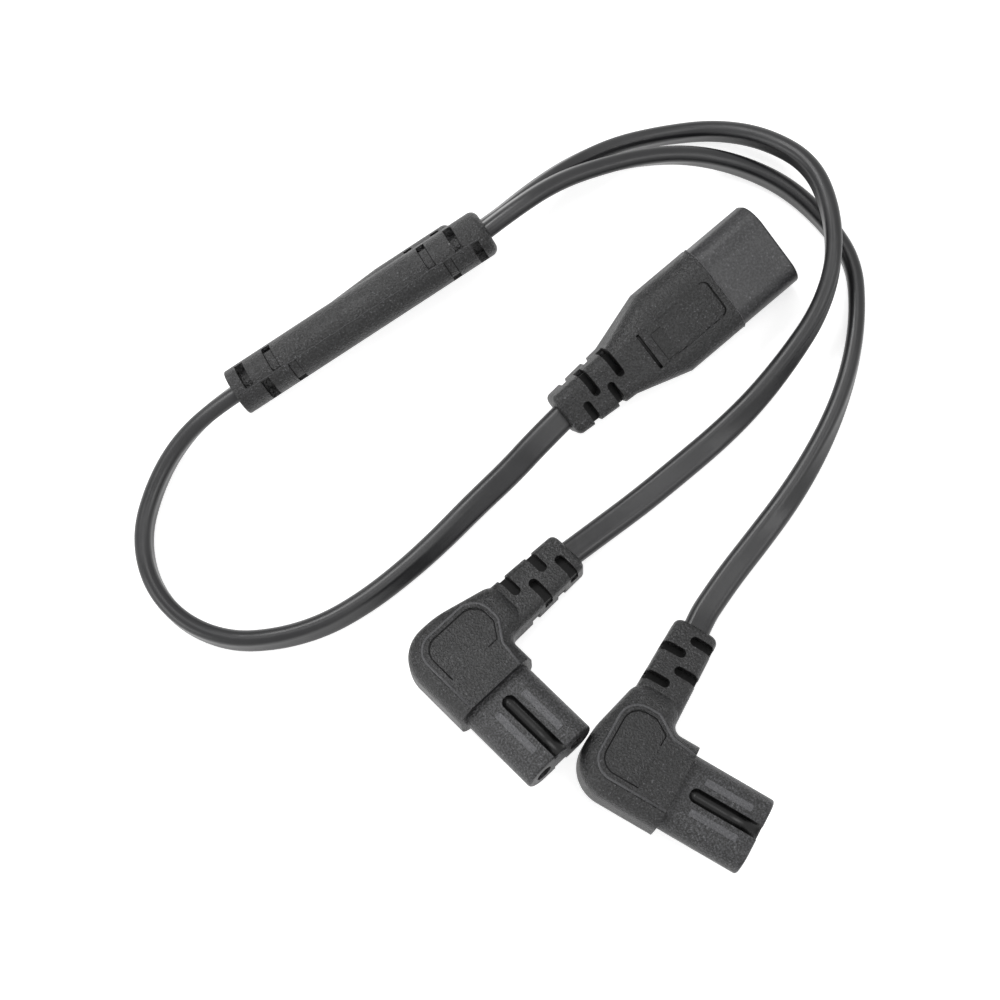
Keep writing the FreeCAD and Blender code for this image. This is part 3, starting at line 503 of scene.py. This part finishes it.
def inlet_seam(to_frame):
    """The seam between the soft housing and the shroud, with one short thick stretch of flash, its bead
    painted paler as a painted highlight.

    The path is a rounded rectangle whose lower half is drawn in by a smooth tanh step. The bead's
    size wavers by the product of two sines, and swells by a bell curve at the flash."""
    ring = rounded_rectangle(SEAM_WIDTH, SEAM_HEIGHT, SEAM_CORNER, SEAM_CORNER_POINTS)
    lower = 0.5 - 0.5 * np.tanh(ring[:, 1:] / 2)
    ring = ring * (1 - SEAM_INSET * lower)
    ring = np.vstack([ring, ring[:1]])
    path = np.column_stack([np.zeros(len(ring)), ring])
    step = np.arange(len(ring))
    wobble = SEAM_WOBBLE * np.sin(step * SEAM_QUICK_WAVE) * np.sin(step * SEAM_SLOW_WAVE)
    flash = np.exp(-((ring - FLASH_PLACE) ** 2).sum(axis=1) / FLASH_SPREAD)
    width = SEAM_BEAD_WIDTH + wobble + FLASH_WIDTH * flash
    height = SEAM_BEAD_HEIGHT + wobble + FLASH_HEIGHT * flash
    # The seam bead is painted paler, a painted highlight along the seam
    bead("inlet_seam", to_frame, path, width, height, shade=0.5, reference=ALONG)


def inlet_panel(to_frame):
    """Painted shade lines round the inlet's bare panel, and the dark block in it."""
    front = drawn(PANEL_FRONT, PANEL_FLOOR)
    across = np.array([-PANEL_REAR_REACH, 0.0, PANEL_REAR_REACH])
    rear = np.column_stack([np.full(3, PANEL_REAR_PLACE), across, np.full(3, PANEL_REAR_HEIGHT)])
    # Slit pieces, dressed near black as painted shade lines
    bead("slit_panel_front", to_frame, front, width=0.26, height=0.08)
    bead("slit_panel_rear", to_frame, rear, width=0.66, height=0.08)
    low = PANEL_FLOOR - BLOCK_ROOT
    high = PANEL_FLOOR + BLOCK_RISE
    plate("panel_block", "black_moulding", to_frame, BLOCK, low, high, shade=-0.6)
    edge = drawn(BLOCK_EDGE, PANEL_FLOOR + BLOCK_EDGE_RISE)
    # The block's edge: a painted shade line
    bead("slit_panel_block", to_frame, edge, width=0.14, height=0.08)


def inlet_trim():
    """The inlet's seam, the web in its relief and the lines of its panel."""
    to_frame = local_axes(INLET_PLACE, INLET_TURN)
    inlet_seam(to_frame)
    # The relief's web: dressed near black as painted shade
    web("slit_inlet_relief", to_frame, INLET_WEB)
    inlet_panel(to_frame)


def groove_lining(name, to_frame, side):
    """The half-round wall of a key groove, with a quarter-round start; its name dresses it near black, as
    painted shade.

    Each ring is a half circle about the nose's face, drawn inside at radius r and back outside
    at r plus the wall. At the start r grows as the sine of an angle while x moves as one minus
    its cosine."""
    swing = np.linspace(GROOVE_TIP, 1, GROOVE_TIP_RINGS) * np.pi / 2
    start = GROOVE_START + GROOVE_RADIUS * (1 - np.cos(swing))
    along = np.concatenate([start, [GROOVE_MIDDLE, GROOVE_END]])
    radius = np.concatenate([GROOVE_RADIUS * np.sin(swing), np.full(2, GROOVE_RADIUS)])
    angle = np.linspace(np.pi, 2 * np.pi, GROOVE_SIDES)
    loop = np.concatenate([angle, angle[::-1]])
    wall = np.repeat([0.0, GROOVE_WALL], GROOVE_SIDES)
    size = radius[:, None] + wall[None, :]
    rings = np.stack([
        np.broadcast_to(along[:, None], size.shape),
        side * size * np.cos(loop),
        side * (NOSE_FLAT + size * np.sin(loop)),
    ], axis=-1)
    uv = uv_grid(np.arange(len(loop)) * 0.3 * UV_STEP, along / 1000)
    piece = in_scene(name, tube_mesh(name, to_frame(rings), uv))
    finish_piece(piece, "black_hard_plastic", 0.0)


def nose_trim(letter):
    """Two narrow raised pads on the nose, one each side of the key groove, painted paler as a painted
    highlight, and the grooves' linings, drawn dark as painted shade.
    """
    to_frame = local_axes(PLUG_PLACES[letter], PLUG_TURNS[letter])
    pad = rounded_rectangle(PAD_LENGTH, PAD_WIDTH, PAD_CORNER, PAD_CORNER_POINTS)
    low = NOSE_FLAT - PAD_ROOT
    high = NOSE_FLAT + PAD_RISE
    for word, side in (("left", 1), ("right", -1)):
        outline = pad + np.array([PAD_PLACE, PAD_OFFSET * side])
        # Pads painted paler, as a painted highlight
        plate(f"plug_{letter}_pad_{word}", "black_hard_plastic", to_frame, outline, low, high, shade=0.24)
    for word, side in (("upper", 1), ("lower", -1)):
        # Groove linings, dressed near black as painted shade
        groove_lining(f"groove_{letter}_{word}", to_frame, side)


def elbow_trim(letter):
    """The plateau's rounded rim on both sides of the elbow, painted paler as a painted highlight; the
    label's edge, a painted shade line, and its rim, a painted highlight; and the arm's web, drawn as
    painted shade.
    """
    to_frame = local_axes(PLUG_PLACES[letter], PLUG_TURNS[letter])
    for word, level in PLATEAU_HEIGHTS.items():
        rim = drawn(PLATEAU, level)
        # Raised rim, painted paler as a painted highlight
        bead(f"plug_{letter}_rim_{word}", to_frame, rim, width=0.52, height=0.36, shade=0.55)
    edge = drawn(LABEL, LABEL_EDGE_HEIGHT)
    # The label's edge: a slit piece, dressed near black as painted shade
    bead(f"slit_label_{letter}", to_frame, edge, width=0.24, height=0.06)
    outside = np.array(LABEL)
    outside[:, :2] += LABEL_OFFSET
    rim = drawn(outside, LABEL_RIM_HEIGHT)
    # The label's rim: painted paler as a painted highlight
    bead(f"plug_{letter}_label_rim", to_frame, rim, width=0.30, height=0.24, shade=0.8)
    # The arm's web: dressed near black as painted shade
    web(f"slit_arm_{letter}", to_frame, ARM_WEB)


def window_lines(name, to_frame, start, side):
    """Painted shade along the edges of one shallow window: its two long sides, and its end near the top.

    The long sides are arcs about the splitter's axis, between the foot's angle and the top's."""
    near = start + WINDOW_INSET
    far = start + WINDOW_LENGTH - WINDOW_INSET
    end = np.linspace(far, near, WINDOW_END_POINTS)
    along = np.concatenate([np.full(WINDOW_POINTS, far), end, np.full(WINDOW_POINTS, near)])
    swing = np.linspace(WINDOW_FOOT, WINDOW_TOP, WINDOW_POINTS)
    angle = np.concatenate([swing, np.full(WINDOW_END_POINTS, WINDOW_TOP), swing[::-1]])
    across = side * WINDOW_RADIUS * np.sin(angle)
    path = np.column_stack([along, across, WINDOW_RADIUS * np.cos(angle)])
    bead(name, to_frame, path, width=0.15, height=0.10)


def splitter_trim():
    """The faint parting line along the splitter's top, painted paler as a painted highlight, and painted
    shade along the edges of its shallow windows.

    The parting line sways by a sine, and its height fades in and out by the product of two sines."""
    to_frame = local_axes(SPLITTER_PLACE, SPLITTER_TURN)
    along = np.linspace(PARTING_START, PARTING_END, PARTING_POINTS)
    strength = 0.5 + 0.5 * np.sin(along * 0.9) * np.sin(along * 0.23 + 1.0)
    height = PARTING_LEAST + PARTING_SWELL * strength
    sway = PARTING_SWAY * np.sin(along * 1.3)
    path = np.column_stack([along, sway, np.full(PARTING_POINTS, PARTING_HEIGHT)])
    # Parting line painted paler, as a painted highlight
    bead("splitter_parting_line", to_frame, path, width=0.16, height=height, shade=0.3)
    for step, side in WINDOWS:
        start = WINDOW_START + WINDOW_PITCH * step
        mirrored = SPLITTER_LENGTH - start - WINDOW_LENGTH
        # Window edges: slit pieces, dressed near black as painted shade
        window_lines(f"slit_left_{step}", to_frame, start, side)
        window_lines(f"slit_right_{step}", to_frame, mirrored, -side)


def node_group(name, inputs, outputs):
    """A shader node group with a vector input, float inputs given by name and size, and float outputs."""
    group = bpy.data.node_groups.new(name, "ShaderNodeTree")
    group.interface.new_socket(name="Vector", in_out="INPUT", socket_type="NodeSocketVector")
    for label, number in inputs.items():
        socket = group.interface.new_socket(name=label, in_out="INPUT", socket_type="NodeSocketFloat")
        socket.default_value = number
    for label in outputs:
        group.interface.new_socket(name=label, in_out="OUTPUT", socket_type="NodeSocketFloat")
    return group, group.nodes.new("NodeGroupInput"), group.nodes.new("NodeGroupOutput")


def maths(tree, operation, *values):
    """A Math node fed by sockets or plain numbers; its output socket."""
    node = tree.nodes.new("ShaderNodeMath")
    node.operation = operation
    for slot, value in enumerate(values):
        if isinstance(value, float):
            node.inputs[slot].default_value = value
        else:
            tree.links.new(value, node.inputs[slot])
    return node.outputs[0]


def noise(tree, vector, scale, detail=2.0, rough=0.5):
    """A Noise Texture on the given coordinates, its scale a number or a socket; its factor socket."""
    node = tree.nodes.new("ShaderNodeTexNoise")
    node.inputs["Detail"].default_value = detail
    node.inputs["Roughness"].default_value = rough
    if isinstance(scale, float):
        node.inputs["Scale"].default_value = scale
    else:
        tree.links.new(scale, node.inputs["Scale"])
    tree.links.new(vector, node.inputs["Vector"])
    return node.outputs["Fac"]


def spread(tree, value, low, high, start=0.0, end=1.0):
    """Map a value from low..high to start..end, clamped."""
    node = tree.nodes.new("ShaderNodeMapRange")
    tree.links.new(value, node.inputs["Value"])
    for label, number in (("From Min", low), ("From Max", high), ("To Min", start), ("To Max", end)):
        node.inputs[label].default_value = number
    return node.outputs["Result"]


def grain_group():
    """Fine eroded mould grain: its height, its light and dark tone, and the few grains painted pale as
    glints, a painted highlight.

    The grain fades in and out in broad patches, as it does where a mould is worn."""
    group, given, out = node_group(
        "mould_grain", {"Grains": 2500.0, "Patches": 160.0}, ("Height", "Tone", "Painted Glint"),
    )
    vector = given.outputs["Vector"]
    fine = noise(group, vector, given.outputs["Grains"], detail=1.5, rough=0.6)
    patch = noise(group, vector, given.outputs["Patches"])
    amount = spread(group, patch, low=0.36, high=0.64, start=0.72)
    centred = maths(group, "SUBTRACT", fine, 0.5)
    height = maths(group, "MULTIPLY", centred, amount)
    tone = spread(group, height, low=-0.09, high=0.12)
    # Painted highlight: the highest grains get a pale colour that stands in for glints
    painted_glint = spread(group, height, low=0.145, high=0.21)
    group.links.new(height, out.inputs["Height"])
    group.links.new(tone, out.inputs["Tone"])
    group.links.new(painted_glint, out.inputs["Painted Glint"])
    return group


def handling_group():
    """Soft cloudy patches of wear, and a few specks of dust.

    A speck is a dot in the middle of a Voronoi cell, and only cells of high random value have one."""
    group, given, out = node_group("handling", {"Patches": 70.0, "Specks": 420.0}, ("Wear", "Dust"))
    vector = given.outputs["Vector"]
    cloud = noise(group, vector, given.outputs["Patches"], detail=4.0, rough=0.55)
    wear = spread(group, cloud, low=0.35, high=0.68)
    cells = group.nodes.new("ShaderNodeTexVoronoi")
    group.links.new(vector, cells.inputs["Vector"])
    group.links.new(given.outputs["Specks"], cells.inputs["Scale"])
    size = spread(group, cells.outputs["Color"], low=0.80, high=1.0, end=0.085)
    dust = maths(group, "LESS_THAN", cells.outputs["Distance"], size)
    group.links.new(wear, out.inputs["Wear"])
    group.links.new(dust, out.inputs["Dust"])
    return group


def use_group(tree, group, vector, **values):
    """Place a node group in a material, on the given coordinates and with its own values."""
    node = tree.nodes.new("ShaderNodeGroup")
    node.node_tree = group
    tree.links.new(vector, node.inputs["Vector"])
    for label, number in values.items():
        node.inputs[label].default_value = number
    return node


def mix_colour(tree, share, first, second):
    """Mix two colours, each an RGB triple or a socket, by a share."""
    node = tree.nodes.new("ShaderNodeMix")
    node.data_type = "RGBA"
    tree.links.new(share, node.inputs["Factor"])
    for label, colour in (("A", first), ("B", second)):
        socket = next(s for s in node.inputs if s.name == label and s.type == "RGBA")
        if isinstance(colour, tuple):
            socket.default_value = (*colour, 1.0)
        else:
            tree.links.new(colour, socket)
    return next(s for s in node.outputs if s.type == "RGBA")


def times(colour, gain):
    """A colour with each of its parts multiplied by the gain."""
    return tuple(gain * part for part in colour)


def new_material(name, **values):
    """A material with one Principled shader, its plain values set on the shader's own sockets."""
    material = bpy.data.materials.new(name)
    material.use_nodes = True
    tree = material.node_tree
    shader = tree.nodes["Principled BSDF"]
    for label, value in values.items():
        shader.inputs[label.replace("_", " ")].default_value = value
    return material, tree, shader


def object_coordinates(tree):
    """Coordinates in the piece's own axes, which are the row frame's, in metres."""
    return tree.nodes.new("ShaderNodeTexCoord").outputs["Object"]


def bump(tree, shader, height, distance):
    """Tilt the shader's normal by the slope of a height, whose unit stands for the distance in metres."""
    node = tree.nodes.new("ShaderNodeBump")
    node.inputs["Strength"].default_value = 1.0
    node.inputs["Distance"].default_value = distance
    tree.links.new(height, node.inputs["Height"])
    tree.links.new(node.outputs["Normal"], shader.inputs["Normal"])


def moulded_plastic(name, dark, pale, painted_glint_colour, rough, grains, depth):
    """Black moulded plastic: eroded grain in height and tone, painted glints on the grain, cloudy wear in
    gloss, specks of dust.

    The attribute shade of a trim piece makes it darker below zero, and above zero paints it paler as a
    painted highlight."""
    material, tree, shader = new_material(name, IOR=1.45)
    place = object_coordinates(tree)
    grain = use_group(tree, GRAIN, place, Grains=grains)
    marks = use_group(tree, HANDLING, place)
    tone = mix_colour(tree, grain.outputs["Tone"], dark, pale)
    # Painted glints mixed into the base colour
    painted_glint = mix_colour(tree, grain.outputs["Painted Glint"], tone, painted_glint_colour)
    shade = tree.nodes.new("ShaderNodeAttribute")
    shade.attribute_name = "shade"
    # Painted highlight: a trim piece of positive shade is mixed toward a pale colour
    painted_highlight = mix_colour(tree, shade.outputs["Fac"], painted_glint, times(pale, PAINTED_HIGHLIGHT_GAIN))
    below = maths(tree, "MULTIPLY", shade.outputs["Fac"], -1.0)
    darker = mix_colour(tree, below, painted_highlight, DEEP_BLACK)
    dusted = mix_colour(tree, marks.outputs["Dust"], darker, DUST)
    smooth, rougher = rough
    gloss = spread(tree, marks.outputs["Wear"], low=0.0, high=1.0, start=smooth, end=rougher)
    tree.links.new(dusted, shader.inputs["Base Color"])
    tree.links.new(gloss, shader.inputs["Roughness"])
    bump(tree, shader, grain.outputs["Height"], depth)
    return material


def cord_sheath(name):
    """Smooth black sheath: faint drawn lines along the cord, slow ripples, cloudy wear and dust."""
    material, tree, shader = new_material(name, IOR=1.5)
    place = object_coordinates(tree)
    stretch = tree.nodes.new("ShaderNodeMapping")
    stretch.inputs["Scale"].default_value = (1.0, 0.05, 1.0)
    uv = tree.nodes.new("ShaderNodeTexCoord").outputs["UV"]
    tree.links.new(uv, stretch.inputs["Vector"])
    lines = noise(tree, stretch.outputs["Vector"], scale=3000.0)
    ripples = noise(tree, place, scale=260.0)
    marks = use_group(tree, HANDLING, place, Patches=90.0, Specks=300.0)
    tone = mix_colour(tree, marks.outputs["Wear"], (0.008, 0.008, 0.009), (0.015, 0.015, 0.016))
    dusted = mix_colour(tree, marks.outputs["Dust"], tone, CORD_DUST)
    gloss = spread(tree, marks.outputs["Wear"], low=0.0, high=1.0, start=0.30, end=0.42)
    height = maths(tree, "ADD", maths(tree, "MULTIPLY", lines, 0.25), ripples)
    tree.links.new(dusted, shader.inputs["Base Color"])
    tree.links.new(gloss, shader.inputs["Roughness"])
    bump(tree, shader, height, 0.00006)
    return material


def plated_metal(name):
    """Plated brass: warm pale metal with fine turned scratches."""
    material, tree, shader = new_material(name, Metallic=1.0)
    scratch = noise(tree, object_coordinates(tree), scale=5200.0, detail=3.0)
    share = spread(tree, scratch, low=0.3, high=0.7)
    tone = mix_colour(tree, share, (0.62, 0.57, 0.47), (0.78, 0.74, 0.66))
    gloss = spread(tree, scratch, low=0.2, high=0.8, start=0.18, end=0.36)
    tree.links.new(tone, shader.inputs["Base Color"])
    tree.links.new(gloss, shader.inputs["Roughness"])
    bump(tree, shader, scratch, 0.00001)
    return material


def plain_plastic(name, colour, rough):
    """A hidden soft plastic with a little grain."""
    material, tree, shader = new_material(name, Roughness=rough)
    grain = use_group(tree, GRAIN, object_coordinates(tree), Grains=1800.0)
    tone = mix_colour(tree, grain.outputs["Tone"], colour, times(colour, 1.2))
    tree.links.new(tone, shader.inputs["Base Color"])
    bump(tree, shader, grain.outputs["Height"], 0.00002)
    return material


def plain_shadow(name, rough, gloss):
    """Painted shade for a narrow slit or groove: near black, with little gloss, so the piece reads as the
    shade inside it.
    """
    material, tree, shader = new_material(name, IOR=1.45, Roughness=rough, Specular_IOR_Level=gloss)
    grain = use_group(tree, GRAIN, object_coordinates(tree), Grains=2500.0)
    tone = mix_colour(tree, grain.outputs["Tone"], DEEP_BLACK, times(DEEP_BLACK, 4.0))
    tree.links.new(tone, shader.inputs["Base Color"])
    return material


def make_materials():
    """Every finish by its slot, and those that a piece's own first word asks for."""
    return {
        # Painted shade for slits and webs
        "slit": plain_shadow("slit_shadow", rough=0.45, gloss=0.16),
        # Painted shade for the key grooves' walls
        "groove": plain_shadow("groove_lining", rough=0.26, gloss=0.42),
        "black_moulding": moulded_plastic(
            "soft_moulding", dark=DEEP_BLACK, pale=(0.022, 0.022, 0.023), painted_glint_colour=(0.09, 0.09, 0.095),
            rough=(0.34, 0.48), grains=2500.0, depth=0.00034,
        ),
        "black_hard_plastic": moulded_plastic(
            "hard_moulding", dark=(0.004, 0.004, 0.004), pale=(0.050, 0.050, 0.053),
            painted_glint_colour=(0.12, 0.12, 0.125), rough=(0.38, 0.48), grains=2700.0, depth=0.00024,
        ),
        "satin_shroud": moulded_plastic(
            "shroud_moulding", dark=(0.016, 0.016, 0.017), pale=(0.040, 0.040, 0.042),
            painted_glint_colour=(0.10, 0.10, 0.105), rough=(0.36, 0.44), grains=2200.0, depth=0.00007,
        ),
        "black_cord": cord_sheath("cord_sheath"),
        "plated_brass": plated_metal("plated_contacts"),
        "core_insulation": plain_plastic("core_insulation", (0.03, 0.09, 0.30), rough=0.40),
        "inner_mould": plain_plastic("inner_mould", (0.012, 0.012, 0.012), rough=0.60),
    }


def dress(thing, material):
    """Give a piece one material in place of what it had."""
    thing.data.materials.clear()
    thing.data.materials.append(material)


def dress_pieces():
    """Dress each solid by the words in its name, then each new piece by its first word or its slot."""
    materials = make_materials()
    for name, node in frame["nodes"].items():
        finish = next(finish for word, finish in FINISH_WORDS if word in name)
        dress(node, materials[finish])
    for piece in bpy.context.scene.objects:
        if "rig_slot" in piece:
            word = piece.name.split("_")[0]
            dress(piece, materials[word if word in materials else piece["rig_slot"]])


def seen_share(tree):
    """1 for camera, glossy and transmission rays, 0 for the rays that light the scene."""
    path = tree.nodes.new("ShaderNodeLightPath")
    seen = maths(tree, "MAXIMUM", path.outputs["Is Camera Ray"], path.outputs["Is Glossy Ray"])
    return maths(tree, "MAXIMUM", seen, path.outputs["Is Transmission Ray"])


def floor_material():
    """Pale for every ray, with a white glow added where the floor is seen."""
    material = bpy.data.materials.new("floor_white")
    material.use_nodes = True
    tree = material.node_tree
    tree.nodes.remove(tree.nodes["Principled BSDF"])
    diffuse = tree.nodes.new("ShaderNodeBsdfDiffuse")
    diffuse.inputs["Color"].default_value = FLOOR_COLOUR
    glow = tree.nodes.new("ShaderNodeEmission")
    glow.inputs["Strength"].default_value = FLOOR_GLOW
    both = tree.nodes.new("ShaderNodeAddShader")
    tree.links.new(diffuse.outputs[0], both.inputs[0])
    tree.links.new(glow.outputs[0], both.inputs[1])
    mix = tree.nodes.new("ShaderNodeMixShader")
    tree.links.new(seen_share(tree), mix.inputs["Fac"])
    tree.links.new(diffuse.outputs[0], mix.inputs[1])
    tree.links.new(both.outputs[0], mix.inputs[2])
    tree.links.new(mix.outputs[0], tree.nodes["Material Output"].inputs["Surface"])
    return material


def make_floor():
    """A flat square of floor below the object, which keeps the object's shadow."""
    mesh = bpy.data.meshes.new("floor")
    signs = ((-1, -1), (1, -1), (1, 1), (-1, 1))
    mesh.from_pydata([(x * FLOOR_REACH, y * FLOOR_REACH, 0) for x, y in signs], [], [(0, 1, 2, 3)])
    mesh.materials.append(floor_material())
    floor = in_scene("floor", mesh)


def make_world():
    """An even soft light all round, plain white where it is seen."""
    world = bpy.data.worlds.new("studio")
    bpy.context.scene.world = world
    world.use_nodes = True
    tree = world.node_tree
    background = tree.nodes["Background"]
    background.inputs["Color"].default_value = (1.0, 1.0, 1.0, 1.0)
    strength = spread(tree, seen_share(tree), low=0.0, high=1.0, start=WORLD_LIGHT)
    tree.links.new(strength, background.inputs["Strength"])


def make_lights():
    """The soft boxes, each aimed at the middle of the floor."""
    for name, (place, width, height, watts) in SOFT_BOXES.items():
        data = bpy.data.lights.new(name, "AREA")
        data.shape = "RECTANGLE"
        data.size = width
        data.size_y = height
        data.energy = watts
        lamp = in_scene(name, data)
        lamp.location = place
        aim(lamp, Vector((0.0, 0.0, 0.0)))


GRAIN = grain_group()
HANDLING = handling_group()

make_camera()
flat_cord("trunk_cord", TRUNK)
flat_cord("branch_cord_a", BRANCH_A)
flat_cord("branch_cord_b", BRANCH_B)
inlet_trim()
splitter_trim()
for letter in PLUG_PLACES:
    nose_trim(letter)
    elbow_trim(letter)
dress_pieces()
make_floor()
make_world()
make_lights()

bpy.context.scene.view_settings.view_transform = "Standard"
